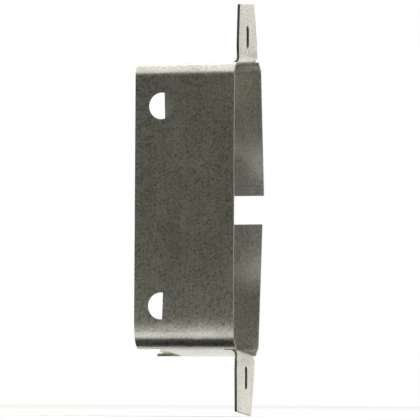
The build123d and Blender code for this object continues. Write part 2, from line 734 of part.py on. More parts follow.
with BuildPart() as coil_bobbin:
    with BuildSketch(Plane.XY.offset(bobbin_low_z)):
        with Locations((COIL_X, COIL_Y)):
            Circle(TUBE_R)
    extrude(amount=bobbin_height)
    for flange_z in (bobbin_low_z, bobbin_low_z + bobbin_height - BOBBIN_FLANGE):
        with BuildSketch(Plane.XY.offset(flange_z)):
            with Locations((COIL_X, COIL_Y)):
                RectangleRounded(2 * BOBBIN_HALF_X, 2 * BOBBIN_HALF_Y, BOBBIN_CORNER_R)
        extrude(amount=BOBBIN_FLANGE)
    with BuildSketch(Plane.XY.offset(bobbin_low_z)):
        with Locations((COIL_X, COIL_Y)):
            Circle(BORE_R)
    extrude(amount=bobbin_height, mode=Mode.SUBTRACT)

coil_bobbin.part.label = "coil_bobbin"
export_step(coil_bobbin.part, "parts/coil_bobbin.step")

with BuildPart() as coil_winding:
    with BuildSketch(Plane.XY.offset(bobbin_low_z + BOBBIN_FLANGE)):
        with Locations((COIL_X, COIL_Y)):
            Circle(WINDING_R)
            Circle(TUBE_R, mode=Mode.SUBTRACT)
    extrude(amount=winding_height)

coil_winding.part.label = "coil_winding"
export_step(coil_winding.part, "parts/coil_winding.step")

with BuildPart() as coil_tape:
    with BuildSketch(Plane.XY.offset(bobbin_low_z + BOBBIN_FLANGE + TAPE_MARGIN)):
        with Locations((COIL_X, COIL_Y)):
            Circle(WRAP_R)
            Circle(WINDING_R, mode=Mode.SUBTRACT)
    extrude(amount=winding_height - 2 * TAPE_MARGIN)

coil_tape.part.label = "coil_tape"
export_step(coil_tape.part, "parts/coil_tape.step")

with BuildPart() as plunger_stop:
    with BuildSketch(Plane.XY.offset(STOP_LOW_Z)):
        with Locations((COIL_X, COIL_Y)):
            Circle(PLUNGER_R)
    extrude(amount=FRAME_TOP_Z - STOP_LOW_Z)
    with BuildSketch(Plane.XY.offset(FRAME_TOP_Z)):
        with Locations((COIL_X, COIL_Y)):
            Circle(STOP_HEAD_R)
    extrude(amount=STOP_HEAD_HEIGHT)
    fillet(plunger_stop.faces().sort_by(Axis.Z)[-1].edges(), STOP_HEAD_EDGE_R)

plunger_stop.part.label = "plunger_stop"
export_step(plunger_stop.part, "parts/plunger_stop.step")

with BuildPart() as solenoid_screws:
    for z in SOLENOID_SCREW_Z:
        seat = Plane(origin=(COIL_X, WEB_Y + PLATE, z), z_dir=(0, 1, 0))
        add(pan_screw(seat, SCREW_R, PLATE + FRAME_WALL - THREAD_END_SPACE, SOLENOID_HEAD))

solenoid_screws.part.label = "solenoid_screws"
export_step(solenoid_screws.part, "parts/solenoid_screws.step")

# ------------------------------------------------------------------ plunger, its clip and spring
TANG_HALF_X = 1.2
TANG_HALF_Y = 2.5
TANG_TOP_Z = -16.8
TANG_LOW_Z = -24.2
PLUNGER_CHAMFER = 0.4
GROOVE_R = 2.4
PLUNGER_CLIP_Z = -PLATE_Z + RUNNING
PLUNGER_CLIP_THICK = 0.6
PLUNGER_CLIP_R = 4.2
PLUNGER_CLIP_GAP = 3.6

with BuildPart() as plunger:
    with BuildSketch(Plane.XY.offset(TANG_TOP_Z)):
        with Locations((COIL_X, COIL_Y)):
            Circle(PLUNGER_R)
    extrude(amount=PLUNGER_TOP_Z - TANG_TOP_Z)
    chamfer(plunger.faces().sort_by(Axis.Z)[-1].edges(), PLUNGER_CHAMFER)
    with BuildSketch(Plane.XY.offset(PLUNGER_CLIP_Z)):
        with Locations((COIL_X, COIL_Y)):
            Circle(2 * PLUNGER_R)
            Circle(GROOVE_R, mode=Mode.SUBTRACT)
    extrude(amount=PLUNGER_CLIP_THICK, mode=Mode.SUBTRACT)
    with BuildSketch(Plane.YZ.offset(COIL_X)):
        with Locations((COIL_Y, TANG_LOW_Z)):
            Rectangle(2 * TANG_HALF_Y, TANG_TOP_Z - TANG_LOW_Z, align=(Align.CENTER, Align.MIN))
        with Locations((COIL_Y, LEVER_Z)):
            Circle(LINK_PIN_R, mode=Mode.SUBTRACT)
    extrude(amount=TANG_HALF_X, both=True)

plunger.part.label = "plunger"
export_step(plunger.part, "parts/plunger.step")

with BuildPart() as plunger_clip:
    ring_plane = Plane(origin=(COIL_X, COIL_Y, PLUNGER_CLIP_Z), x_dir=(0, 1, 0), z_dir=(0, 0, 1))
    add(snap_ring(ring_plane, GROOVE_R, PLUNGER_CLIP_R, PLUNGER_CLIP_THICK, PLUNGER_CLIP_GAP))

plunger_clip.part.label = "plunger_clip"
export_step(plunger_clip.part, "parts/plunger_clip.step")

RETURN_WIRE_R = 0.28
RETURN_COIL_R = 3.75
RETURN_TURNS = 4
return_low_z = PLUNGER_CLIP_Z + PLUNGER_CLIP_THICK + RETURN_WIRE_R
return_height = FRAME_LOW_Z - RETURN_WIRE_R - return_low_z

with BuildPart() as plunger_spring:
    with BuildLine(Plane(origin=(COIL_X, COIL_Y, return_low_z))):
        return_line = Helix(return_height / RETURN_TURNS, return_height, RETURN_COIL_R)
    with BuildSketch(Plane(origin=return_line @ 0, z_dir=return_line % 0)):
        Circle(RETURN_WIRE_R)
    sweep(path=return_line, is_frenet=True)

plunger_spring.part.label = "plunger_spring"
export_step(plunger_spring.part, "parts/plunger_spring.step")

LINK_PIN_HALF = 3.9
LINK_PIN_CHAMFER = 0.2

with BuildPart() as link_pin:
    with BuildSketch(Plane.YZ.offset(COIL_X)):
        with Locations((COIL_Y, LEVER_Z)):
            Circle(LINK_PIN_R)
    extrude(amount=LINK_PIN_HALF, both=True)
    chamfer(link_pin.edges().filter_by(GeomType.CIRCLE), LINK_PIN_CHAMFER)

link_pin.part.label = "link_pin"
export_step(link_pin.part, "parts/link_pin.step")

# ------------------------------------------------------------------ locking lever
LEVER_NEAR_Y = -0.8
KNUCKLE_R = 1.6
TANG_SPACE = 0.2
WINDOW_HALF_X = TANG_HALF_X + TANG_SPACE
WINDOW_Y = (1.6, 8.0)
LINK_SLOT_LENGTH = 2.6
LINK_SLOT_SPACE = 0.2
NOSE_MID_ANGLE = radians(10)
lever_low_z = LEVER_Z - LEVER_THICK / 2
nose_top_y = LEVER_PIVOT_Y - sqrt(NOSE_FACE_R**2 - (NOSE_TOP_Z - LEVER_Z) ** 2)
nose_foot_y = LEVER_PIVOT_Y - sqrt(NOSE_FACE_R**2 - (LEVER_THICK / 2) ** 2)
nose_mid_y = LEVER_PIVOT_Y - NOSE_FACE_R * cos(NOSE_MID_ANGLE)
nose_mid_z = LEVER_Z + NOSE_FACE_R * sin(NOSE_MID_ANGLE)
lever_width = LEVER_FRONT_X - LEVER_REAR_X

with BuildPart() as locking_lever:
    with BuildSketch(Plane.XY.offset(lever_low_z)):
        with Locations((LEVER_REAR_X, LEVER_NEAR_Y)):
            Rectangle(lever_width, LEVER_PIVOT_Y - LEVER_NEAR_Y, align=(Align.MIN, Align.MIN))
        with Locations((LEVER_REAR_X, NOSE_FAR_Y)):
            Rectangle(
                NOSE_FRONT_X - LEVER_REAR_X,
                LEVER_NEAR_Y - NOSE_FAR_Y,
                align=(Align.MIN, Align.MIN),
            )
        with Locations((COIL_X, sum(WINDOW_Y) / 2)):
            Rectangle(2 * WINDOW_HALF_X, WINDOW_Y[1] - WINDOW_Y[0], mode=Mode.SUBTRACT)
    extrude(amount=LEVER_THICK)

    # Knuckle round the pivot pin
    with BuildSketch(Plane.YZ.offset(LEVER_REAR_X)):
        with Locations((LEVER_PIVOT_Y, LEVER_Z)):
            Circle(KNUCKLE_R)
    extrude(amount=lever_width)

    # Nose, bent up at the free end; its near face is an arc about the pivot, so it clears the tail
    with BuildSketch(Plane.YZ.offset(LEVER_REAR_X)):
        with BuildLine():
            Line((nose_top_y, NOSE_TOP_Z), (NOSE_FAR_Y, NOSE_TOP_Z))
            Line((NOSE_FAR_Y, NOSE_TOP_Z), (NOSE_FAR_Y, lever_low_z))
            Line((NOSE_FAR_Y, lever_low_z), (nose_foot_y, lever_low_z))
            ThreePointArc((nose_foot_y, lever_low_z), (nose_mid_y, nose_mid_z), (nose_top_y, NOSE_TOP_Z))
        make_face()
    extrude(amount=NOSE_FRONT_X - LEVER_REAR_X)

    # Pivot bore and the slot that the link pin slides in
    with BuildSketch(Plane.YZ.offset(LEVER_REAR_X)):
        with Locations((LEVER_PIVOT_Y, LEVER_Z)):
            Circle(LEVER_PIN_R + RUNNING)
        with Locations((COIL_Y, LEVER_Z)):
            SlotOverall(LINK_SLOT_LENGTH, 2 * LINK_PIN_R + LINK_SLOT_SPACE)
    extrude(amount=lever_width, mode=Mode.SUBTRACT)

locking_lever.part.label = "locking_lever"
export_step(locking_lever.part, "parts/locking_lever.step")

LEVER_PIN_REAR_X = -30.3
LEVER_PIN_FRONT_X = -16.6
LEVER_CLIP_X = -17.5
LEVER_CLIP_THICK = 0.4
LEVER_CLIP_R = 2.0
LEVER_CLIP_GAP = 1.3
LEVER_GROOVE_R = 0.75
LEVER_PIN_HEAD_R = 1.6
LEVER_PIN_HEAD_HEIGHT = 0.7
LEVER_PIN_HEAD_EDGE_R = 0.3

with BuildPart() as lever_pin:
    with BuildSketch(Plane.YZ.offset(LEVER_PIN_REAR_X)):
        with Locations((LEVER_PIVOT_Y, LEVER_Z)):
            Circle(LEVER_PIN_R)
    extrude(amount=LEVER_PIN_FRONT_X - LEVER_PIN_REAR_X)
    with BuildSketch(Plane.YZ.offset(LEVER_PIN_REAR_X)):
        with Locations((LEVER_PIVOT_Y, LEVER_Z)):
            Circle(LEVER_PIN_HEAD_R)
    extrude(amount=-LEVER_PIN_HEAD_HEIGHT)
    fillet(lever_pin.faces().sort_by(Axis.X)[0].edges(), LEVER_PIN_HEAD_EDGE_R)
    with BuildSketch(Plane.YZ.offset(LEVER_CLIP_X)):
        with Locations((LEVER_PIVOT_Y, LEVER_Z)):
            Circle(2 * LEVER_PIN_R)
            Circle(LEVER_GROOVE_R, mode=Mode.SUBTRACT)
    extrude(amount=LEVER_CLIP_THICK, mode=Mode.SUBTRACT)

lever_pin.part.label = "lever_pin"
export_step(lever_pin.part, "parts/lever_pin.step")

with BuildPart() as lever_pin_clip:
    clip_origin = (LEVER_CLIP_X, LEVER_PIVOT_Y, LEVER_Z)
    ring_plane = Plane(origin=clip_origin, x_dir=(0, 0, -1), z_dir=(1, 0, 0))
    add(snap_ring(ring_plane, LEVER_GROOVE_R, LEVER_CLIP_R, LEVER_CLIP_THICK, LEVER_CLIP_GAP))

lever_pin_clip.part.label = "lever_pin_clip"
export_step(lever_pin_clip.part, "parts/lever_pin_clip.step")

# ------------------------------------------------------------------ terminal block and coil leads
BLOCK_TOP_Z = PLATE_OUTER_Z + BLOCK_HEIGHT
WAY_WIDTH = 3.6
CLAMP_LOW_Z = PLATE_OUTER_Z + 1.8
CLAMP_TOP_Z = PLATE_OUTER_Z + 5.4
CLAMP_SCREW_R = 0.9
CLAMP_SCREW_LENGTH = 1.1
CLAMP_HEAD = (1.5, 1.8, 0.5)
SCREW_WELL_R = 1.7
BLOCK_CHAMFER = 1.2
way_x = (BLOCK_REAR_X + BLOCK_FRONT_X) / 2
block_mid_y = sum(BLOCK_Y) / 2

with BuildPart() as terminal_block:
    with BuildSketch(Plane.XY.offset(PLATE_OUTER_Z)):
        with Locations((BLOCK_REAR_X, BLOCK_Y[0])):
            Rectangle(
                BLOCK_FRONT_X - BLOCK_REAR_X,
                BLOCK_Y[1] - BLOCK_Y[0],
                align=(Align.MIN, Align.MIN),
            )
    extrude(amount=BLOCK_HEIGHT)
    chamfer(terminal_block.faces().sort_by(Axis.Z)[-1].edges().filter_by(Axis.Y), BLOCK_CHAMFER)
    for y in WAY_Y:
        # One through passage for the wires and one screw well for each way
        with BuildSketch(Plane.YZ.offset(BLOCK_REAR_X)):
            with Locations((y, CLAMP_LOW_Z)):
                Rectangle(WAY_WIDTH, CLAMP_TOP_Z - CLAMP_LOW_Z, align=(Align.CENTER, Align.MIN))
        extrude(amount=BLOCK_FRONT_X - BLOCK_REAR_X, mode=Mode.SUBTRACT)
        with BuildSketch(Plane.XY.offset(CLAMP_TOP_Z)):
            with Locations((way_x, y)):
                Circle(SCREW_WELL_R)
        extrude(amount=BLOCK_TOP_Z - CLAMP_TOP_Z, mode=Mode.SUBTRACT)
    with BuildSketch(Plane.XY.offset(PLATE_OUTER_Z)):
        with Locations((way_x, block_mid_y)):
            Circle(RIVET_R)
    extrude(amount=BLOCK_HEIGHT, mode=Mode.SUBTRACT)

terminal_block.part.label = "terminal_block"
export_step(terminal_block.part, "parts/terminal_block.step")

CLAMP_HALF_X = 2.2
CLAMP_WALL = 0.6

with BuildPart() as terminal_clamps:
    for y in WAY_Y:
        with BuildSketch(Plane.YZ.offset(way_x)):
            with Locations((y, (CLAMP_LOW_Z + CLAMP_TOP_Z) / 2)):
                Rectangle(WAY_WIDTH, CLAMP_TOP_Z - CLAMP_LOW_Z)
                Rectangle(
                    WAY_WIDTH - 2 * CLAMP_WALL,
                    CLAMP_TOP_Z - CLAMP_LOW_Z - 2 * CLAMP_WALL,
                    mode=Mode.SUBTRACT,
                )
        extrude(amount=CLAMP_HALF_X, both=True)
        with BuildSketch(Plane.XY.offset(CLAMP_TOP_Z - CLAMP_WALL)):
            with Locations((way_x, y)):
                Circle(CLAMP_SCREW_R)
        extrude(amount=CLAMP_WALL, mode=Mode.SUBTRACT)

terminal_clamps.part.label = "terminal_clamps"
export_step(terminal_clamps.part, "parts/terminal_clamps.step")

with BuildPart() as terminal_screws:
    for y in WAY_Y:
        seat = Plane(origin=(way_x, y, CLAMP_TOP_Z), z_dir=(0, 0, 1))
        add(pan_screw(seat, CLAMP_SCREW_R, CLAMP_SCREW_LENGTH, CLAMP_HEAD))

terminal_screws.part.label = "terminal_screws"
export_step(terminal_screws.part, "parts/terminal_screws.step")

with BuildPart() as terminal_block_rivet:
    with BuildSketch(Plane.XY.offset(PLATE_Z)):
        with Locations((way_x, block_mid_y)):
            Circle(RIVET_R)
    extrude(amount=BLOCK_TOP_Z - PLATE_Z)
    for head_z, height in ((BLOCK_TOP_Z, RIVET_HEAD_HEIGHT), (PLATE_Z, -RIVET_HEAD_HEIGHT)):
        with BuildSketch(Plane.XY.offset(head_z)):
            with Locations((way_x, block_mid_y)):
                Circle(RIVET_HEAD_R)
        extrude(amount=height)
    fillet(terminal_block_rivet.faces().sort_by(Axis.Z)[-1].edges(), RIVET_EDGE_R)

terminal_block_rivet.part.label = "terminal_block_rivet"
export_step(terminal_block_rivet.part, "parts/terminal_block_rivet.step")

lead_start_x = COIL_X + WRAP_R
lead_end_x = way_x + CLAMP_HALF_X + LEAD_END_SPACE

with BuildPart() as coil_leads:
    for y in LEAD_Y:
        with BuildLine(Plane.XZ.offset(-y)) as lead_route:
            FilletPolyline(
                (lead_start_x, LEAD_LOW_Z),
                (LEAD_X, LEAD_LOW_Z),
                (LEAD_X, LEAD_TOP_Z),
                (lead_end_x, LEAD_TOP_Z),
                radius=LEAD_BEND_R,
            )
        with BuildSketch(Plane(origin=(lead_start_x, y, LEAD_LOW_Z), z_dir=(1, 0, 0))):
            Circle(LEAD_R)
        sweep(path=lead_route.line)

coil_leads.part.label = "coil_leads"
export_step(coil_leads.part, "parts/coil_leads.step")
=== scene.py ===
"""Electric door strike: finishes, wound coil, plain studio and camera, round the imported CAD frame."""
import json
from math import cos, pi, radians, sin

import bpy
from mathutils import Matrix, Vector


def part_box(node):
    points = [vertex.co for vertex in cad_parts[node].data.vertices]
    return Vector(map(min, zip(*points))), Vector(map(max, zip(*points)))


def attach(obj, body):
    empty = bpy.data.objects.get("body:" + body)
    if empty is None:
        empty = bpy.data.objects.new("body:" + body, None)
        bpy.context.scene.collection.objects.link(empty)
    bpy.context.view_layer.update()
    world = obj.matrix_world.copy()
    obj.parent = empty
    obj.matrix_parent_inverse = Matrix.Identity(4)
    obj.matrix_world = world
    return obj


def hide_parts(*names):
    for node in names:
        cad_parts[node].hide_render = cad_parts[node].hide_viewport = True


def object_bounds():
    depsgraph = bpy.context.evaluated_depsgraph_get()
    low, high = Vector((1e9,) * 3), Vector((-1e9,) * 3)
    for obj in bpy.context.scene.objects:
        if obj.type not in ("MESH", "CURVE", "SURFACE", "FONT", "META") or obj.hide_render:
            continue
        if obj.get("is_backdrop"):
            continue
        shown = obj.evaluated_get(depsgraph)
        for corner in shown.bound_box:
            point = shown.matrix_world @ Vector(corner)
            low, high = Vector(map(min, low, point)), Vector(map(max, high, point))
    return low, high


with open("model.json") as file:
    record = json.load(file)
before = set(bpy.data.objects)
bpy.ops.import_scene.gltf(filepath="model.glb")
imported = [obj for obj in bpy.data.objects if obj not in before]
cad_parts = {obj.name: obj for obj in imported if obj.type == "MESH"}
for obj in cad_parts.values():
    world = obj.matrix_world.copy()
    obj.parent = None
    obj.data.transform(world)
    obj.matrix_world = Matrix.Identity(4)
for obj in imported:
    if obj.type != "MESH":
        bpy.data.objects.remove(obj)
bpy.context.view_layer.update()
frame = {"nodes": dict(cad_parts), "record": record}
nodes = frame["nodes"]
MM = 0.001


# ------------------------------------------------------------------ node helpers
class Graph:
    """Short calls that add nodes to one node tree and wire them up."""

    def __init__(self, tree):
        self.tree = tree
        tree.nodes.clear()

    def add(self, kind, inputs=None, **settings):
        """A new node. inputs maps socket names or numbers to values or to other nodes' outputs."""
        node = self.tree.nodes.new(kind)
        for name, value in settings.items():
            setattr(node, name, value)
        for socket, value in (inputs or {}).items():
            if isinstance(value, bpy.types.NodeSocket):
                self.tree.links.new(value, node.inputs[socket])
            else:
                node.inputs[socket].default_value = value
        return node

    def math(self, operation, first, second=0.0, third=0.0, clamp=False):
        """One math node on up to three values or outputs."""
        inputs = {0: first, 1: second, 2: third}
        return self.add("ShaderNodeMath", inputs, operation=operation, use_clamp=clamp).outputs[0]

    def ramp(self, value, low, high, start=0.0, end=1.0):
        """value mapped smoothly from low..high to start..end."""
        inputs = {"Value": value, "From Min": low, "From Max": high, "To Min": start, "To Max": end}
        node = self.add("ShaderNodeMapRange", inputs, interpolation_type="SMOOTHSTEP", clamp=True)
        return node.outputs[0]

    def mix(self, factor, first, second, blend="MIX"):
        """Colour mix of two colours or colour outputs."""
        inputs = {"Factor": factor, "A": first, "B": second}
        node = self.tree.nodes.new("ShaderNodeMix")
        node.data_type = "RGBA"
        node.blend_type = blend
        for name, value in inputs.items():
            kinds = ("VALUE",) if name == "Factor" else ("RGBA",)
            socket = next(s for s in node.inputs if s.name == name and s.type in kinds)
            if isinstance(value, bpy.types.NodeSocket):
                self.tree.links.new(value, socket)
            else:
                socket.default_value = value
        return next(s for s in node.outputs if s.type == "RGBA")

    def place(self, scale=(1, 1, 1), turn=(0, 0, 0)):
        """Object coordinates, turned and scaled; the scale is in features per metre."""
        source = self.add("ShaderNodeTexCoord").outputs["Object"]
        inputs = {"Vector": source, "Rotation": turn, "Scale": scale}
        return self.add("ShaderNodeMapping", inputs).outputs[0]

    def noise(self, vector, scale, detail=4.0, roughness=0.55, distortion=0.0):
        """Cloudy noise, 0 to 1, with scale features per unit of vector."""
        inputs = {
            "Vector": vector,
            "Scale": scale,
            "Detail": detail,
            "Roughness": roughness,
            "Distortion": distortion,
        }
        return self.add("ShaderNodeTexNoise", inputs).outputs[0]

    def cells(self, vector, scale):
        """Distance to the nearest of scattered points."""
        node = self.add("ShaderNodeTexVoronoi", {"Vector": vector, "Scale": scale})
        return node.outputs["Distance"]

    def bump(self, height, depth, strength=1.0, normal=None):
        """Bump whose height of 1 stands depth metres high."""
        inputs = {"Height": height, "Distance": depth, "Strength": strength}
        if normal is not None:
            inputs["Normal"] = normal
        return self.add("ShaderNodeBump", inputs).outputs[0]


def rgb(red, green, blue):
    """An opaque colour for a shader's socket."""
    return (red, green, blue, 1.0)


def new_material(name):
    """An empty node material: (material, graph)."""
    material = bpy.data.materials.new(name)
    material.use_nodes = True
    return material, Graph(material.node_tree)


def close_material(material, graph, inputs):
    """Adds the surface shader with those inputs."""
    shader = graph.add("ShaderNodeBsdfPrincipled", inputs)
    graph.add("ShaderNodeOutputMaterial", {"Surface": shader.outputs[0]})
    return material


# ------------------------------------------------------------------ finishes
def scratches(graph, turn, length, width, amount):
    """Sparse fine lines in one direction: 1 in a scratch, 0 elsewhere."""
    lines = graph.noise(graph.place((1 / width, 1 / width, 1 / length), turn), 1.0, 2.0, 0.5)
    return graph.ramp(lines, 0.5 + 0.22 * (1 - amount), 0.78)


def sheared_faces(graph):
    """1 on the cut faces of the housing's strip: its rims, ends, slot walls and hole walls."""
    bent_from = 37 * MM
    bent_to = 43 * MM
    ear_from = 46.5 * MM
    coordinates = graph.add("ShaderNodeTexCoord").outputs
    height = graph.add("ShaderNodeSeparateXYZ", {"Vector": coordinates["Object"]}).outputs[2]
    height = graph.math("ABSOLUTE", height)
    facing = graph.add("ShaderNodeSeparateXYZ", {"Vector": coordinates["Normal"]}).outputs
    across = graph.math("ABSOLUTE", facing[0])
    sideways = graph.math("ABSOLUTE", facing[1])
    flat = graph.math("LESS_THAN", height, bent_from)
    flat_rims = graph.math("MULTIPLY", graph.ramp(sideways, 0.5, 0.3), flat)
    bent = graph.math("COMPARE", height, (bent_from + bent_to) / 2, (bent_to - bent_from) / 2)
    bent_rims = graph.math("MULTIPLY", graph.ramp(across, 0.9, 0.99), bent)
    ears = graph.math("GREATER_THAN", height, ear_from)
    ear_rims = graph.math("MULTIPLY", graph.ramp(across, 0.5, 0.3), ears)
    return graph.math("MAXIMUM", flat_rims, graph.math("MAXIMUM", bent_rims, ear_rims))


def ear_root_painted_shade(graph):
    """1 in the painted shade just past the bends of the two ears, broken into short dark streaks; 0
    elsewhere.
    """
    object_place = graph.add("ShaderNodeTexCoord").outputs["Object"]
    height = graph.add("ShaderNodeSeparateXYZ", {"Vector": object_place}).outputs[2]
    height = graph.math("ABSOLUTE", height)
    band = graph.math(
        "MULTIPLY", graph.ramp(height, 45.4 * MM, 46.4 * MM), graph.ramp(height, 49.0 * MM, 46.6 * MM)
    )
    streaks = graph.noise(graph.place((900, 900, 160)), 1.0, 3.0, 0.6, 0.4)
    return graph.math("MULTIPLY", band, graph.ramp(streaks, 0.40, 0.62))


def housing_steel():
    """Bright rolled strip: close cloudy grain, faint rolling lines, handling marks, cut rims."""
    material, g = new_material("housing_steel")
    clouds = g.noise(g.place(), 1500.0, 5.0, 0.70, 0.5)
    blotches = g.noise(g.place((1, 1, 0.6)), 90.0, 3.0, 0.5)
    rolling = g.noise(g.place((5000, 5000, 50)), 1.0, 3.0, 0.6)
    marks = scratches(g, (0.5, 0.3, 0.0), 9 * MM, 0.12 * MM, 0.55)
    more_marks = scratches(g, (-0.8, 0.2, 0.4), 6 * MM, 0.10 * MM, 0.45)
    pits = g.ramp(g.cells(g.place(), 700.0), 0.10, 0.04)
    sheared = sheared_faces(g)

    tone = g.math("ADD", g.math("MULTIPLY", clouds, 0.65), g.math("MULTIPLY", blotches, 0.20))
    tone = g.math("ADD", tone, g.math("MULTIPLY", rolling, 0.15))
    colour = g.mix(g.ramp(tone, 0.36, 0.64), rgb(0.46, 0.45, 0.385), rgb(0.82, 0.815, 0.745))
    colour = g.mix(g.math("MULTIPLY", pits, 0.12), colour, rgb(0.20, 0.18, 0.15))
    # painted shade: dark streaks at the ear roots, where the bends throw shade
    colour = g.mix(g.math("MULTIPLY", ear_root_painted_shade(g), 0.55), colour, rgb(0.22, 0.18, 0.14))
    # painted shade: the cut faces, hole walls among them, are coloured dark for the shade along the
    # sheet's edges and inside the holes
    colour = g.mix(sheared, colour, rgb(0.20, 0.18, 0.155))

    rough = g.ramp(clouds, 0.3, 0.7, 0.26, 0.36)
    rough = g.math("ADD", rough, g.math("MULTIPLY", marks, -0.08))
    rough = g.math("ADD", rough, g.math("MULTIPLY", sheared, 0.18), clamp=True)
    relief = g.bump(rolling, 0.003 * MM, 0.5)
    relief = g.bump(clouds, 0.016 * MM, 0.7, relief)
    relief = g.bump(g.math("ADD", marks, more_marks), -0.006 * MM, 0.6, relief)
    relief = g.bump(pits, -0.01 * MM, 0.3, relief)
    inputs = {"Base Color": colour, "Metallic": 1.0, "Roughness": rough, "Normal": relief}
    return close_material(material, g, inputs)


def plain_metal(name, dark, light, rough, cloud_scale=500.0, grain=None, speck=0.0):
    """A metal with cloudy tone and roughness; grain is (scale along each axis) of brushed lines."""
    material, g = new_material(name)
    clouds = g.noise(g.place(), cloud_scale, 4.0, 0.6, 0.3)
    lines = g.noise(g.place(grain or (6000, 6000, 6000)), 1.0, 3.0, 0.6)
    tone = g.math("ADD", g.math("MULTIPLY", clouds, 0.7), g.math("MULTIPLY", lines, 0.3))
    colour = g.mix(g.ramp(tone, 0.35, 0.65), rgb(*dark), rgb(*light))
    if speck:
        spots = g.ramp(g.cells(g.place(), cloud_scale * 1.7), 0.16, 0.06)
        colour = g.mix(g.math("MULTIPLY", spots, speck), colour, rgb(0.09, 0.075, 0.06))
    roughness = g.ramp(tone, 0.3, 0.7, rough - 0.05, rough + 0.09)
    relief = g.bump(lines, 0.006 * MM, 0.6)
    relief = g.bump(clouds, 0.015 * MM, 0.6, relief)
    inputs = {"Base Color": colour, "Metallic": 1.0, "Roughness": roughness, "Normal": relief}
    return close_material(material, g, inputs)


def cast_steel():
    """Investment casting: fine orange-peel skin, darker in the hollows."""
    material, g = new_material("cast_steel")
    peel = g.noise(g.place(), 2200.0, 4.0, 0.6)
    lumps = g.noise(g.place(), 420.0, 2.0, 0.5)
    colour = g.mix(g.ramp(peel, 0.35, 0.65), rgb(0.20, 0.195, 0.185), rgb(0.40, 0.39, 0.375))
    relief = g.bump(lumps, 0.03 * MM, 0.7)
    relief = g.bump(peel, 0.03 * MM, 0.8, relief)
    inputs = {
        "Base Color": colour,
        "Metallic": 1.0,
        "Roughness": g.ramp(peel, 0.3, 0.7, 0.52, 0.38),
        "Normal": relief,
    }
    return close_material(material, g, inputs)


def passivated_zinc():
    """Yellow chromate over zinc: straw colour that drifts to faint pink and green."""
    material, g = new_material("frame_steel")
    drift = g.noise(g.place(), 180.0, 2.0, 0.5, 1.0)
    fine = g.noise(g.place(), 1500.0, 3.0, 0.6)
    colour = g.mix(g.ramp(drift, 0.35, 0.5), rgb(0.56, 0.50, 0.26), rgb(0.62, 0.52, 0.30))
    colour = g.mix(g.ramp(drift, 0.5, 0.66), colour, rgb(0.60, 0.44, 0.33))
    colour = g.mix(g.ramp(fine, 0.35, 0.75, 0.0, 0.25), colour, rgb(0.30, 0.28, 0.20))
    inputs = {
        "Base Color": colour,
        "Metallic": 1.0,
        "Roughness": g.ramp(fine, 0.3, 0.7, 0.26, 0.40),
        "Normal": g.bump(fine, 0.012 * MM, 0.6),
    }
    return close_material(material, g, inputs)


def moulded_plastic(name, dark, light, rough, sheen=0.5, coat=0.0):
    """Moulded plastic with a spark-eroded texture and faint flow marks."""
    material, g = new_material(name)
    flow = g.noise(g.place((1, 1, 0.35)), 240.0, 3.0, 0.55, 0.8)
    erosion = g.noise(g.place(), 5200.0, 2.0, 0.6)
    colour = g.mix(g.ramp(flow, 0.3, 0.7), rgb(*dark), rgb(*light))
    inputs = {
        "Base Color": colour,
        "Roughness": g.ramp(erosion, 0.3, 0.7, rough - 0.05, rough + 0.08),
        "Normal": g.bump(erosion, 0.012 * MM, 0.7),
        "Specular IOR Level": sheen,
        "Coat Weight": coat,
        "Coat Roughness": 0.15,
    }
    return close_material(material, g, inputs)


def coil_tape():
    """Amber polyester tape, wound in laps: a gloss film over faint turns of wire."""
    material, g = new_material("coil_tape")
    vertical = g.add("ShaderNodeSeparateXYZ", {"Vector": g.place()}).outputs[2]
    turns = g.math("SINE", g.math("MULTIPLY", vertical, 2 * pi / (0.28 * MM)))
    creases = g.noise(g.place((1, 1, 0.2)), 900.0, 3.0, 0.6, 1.2)
    colour = g.mix(g.ramp(creases, 0.3, 0.7), rgb(0.50, 0.27, 0.05), rgb(0.74, 0.47, 0.12))
    relief = g.bump(turns, 0.01 * MM, 0.5)
    relief = g.bump(creases, 0.04 * MM, 0.7, relief)
    inputs = {
        "Base Color": colour,
        "Roughness": g.ramp(creases, 0.3, 0.7, 0.16, 0.30),
        "Normal": relief,
        "Coat Weight": 0.6,
        "Coat Roughness": 0.08,
    }
    return close_material(material, g, inputs)


def copper_wire():
    """Enamelled copper, each turn a little lighter or darker."""
    material, g = new_material("copper_wire")
    vertical = g.noise(g.place((40, 40, 9000)), 1.0, 2.0, 0.6)
    colour = g.mix(g.ramp(vertical, 0.3, 0.7), rgb(0.50, 0.19, 0.075), rgb(0.78, 0.36, 0.16))
    inputs = {
        "Base Color": colour,
        "Metallic": 1.0,
        "Roughness": g.ramp(vertical, 0.3, 0.7, 0.24, 0.36),
        "Coat Weight": 0.5,
        "Coat Roughness": 0.12,
    }
    return close_material(material, g, inputs)


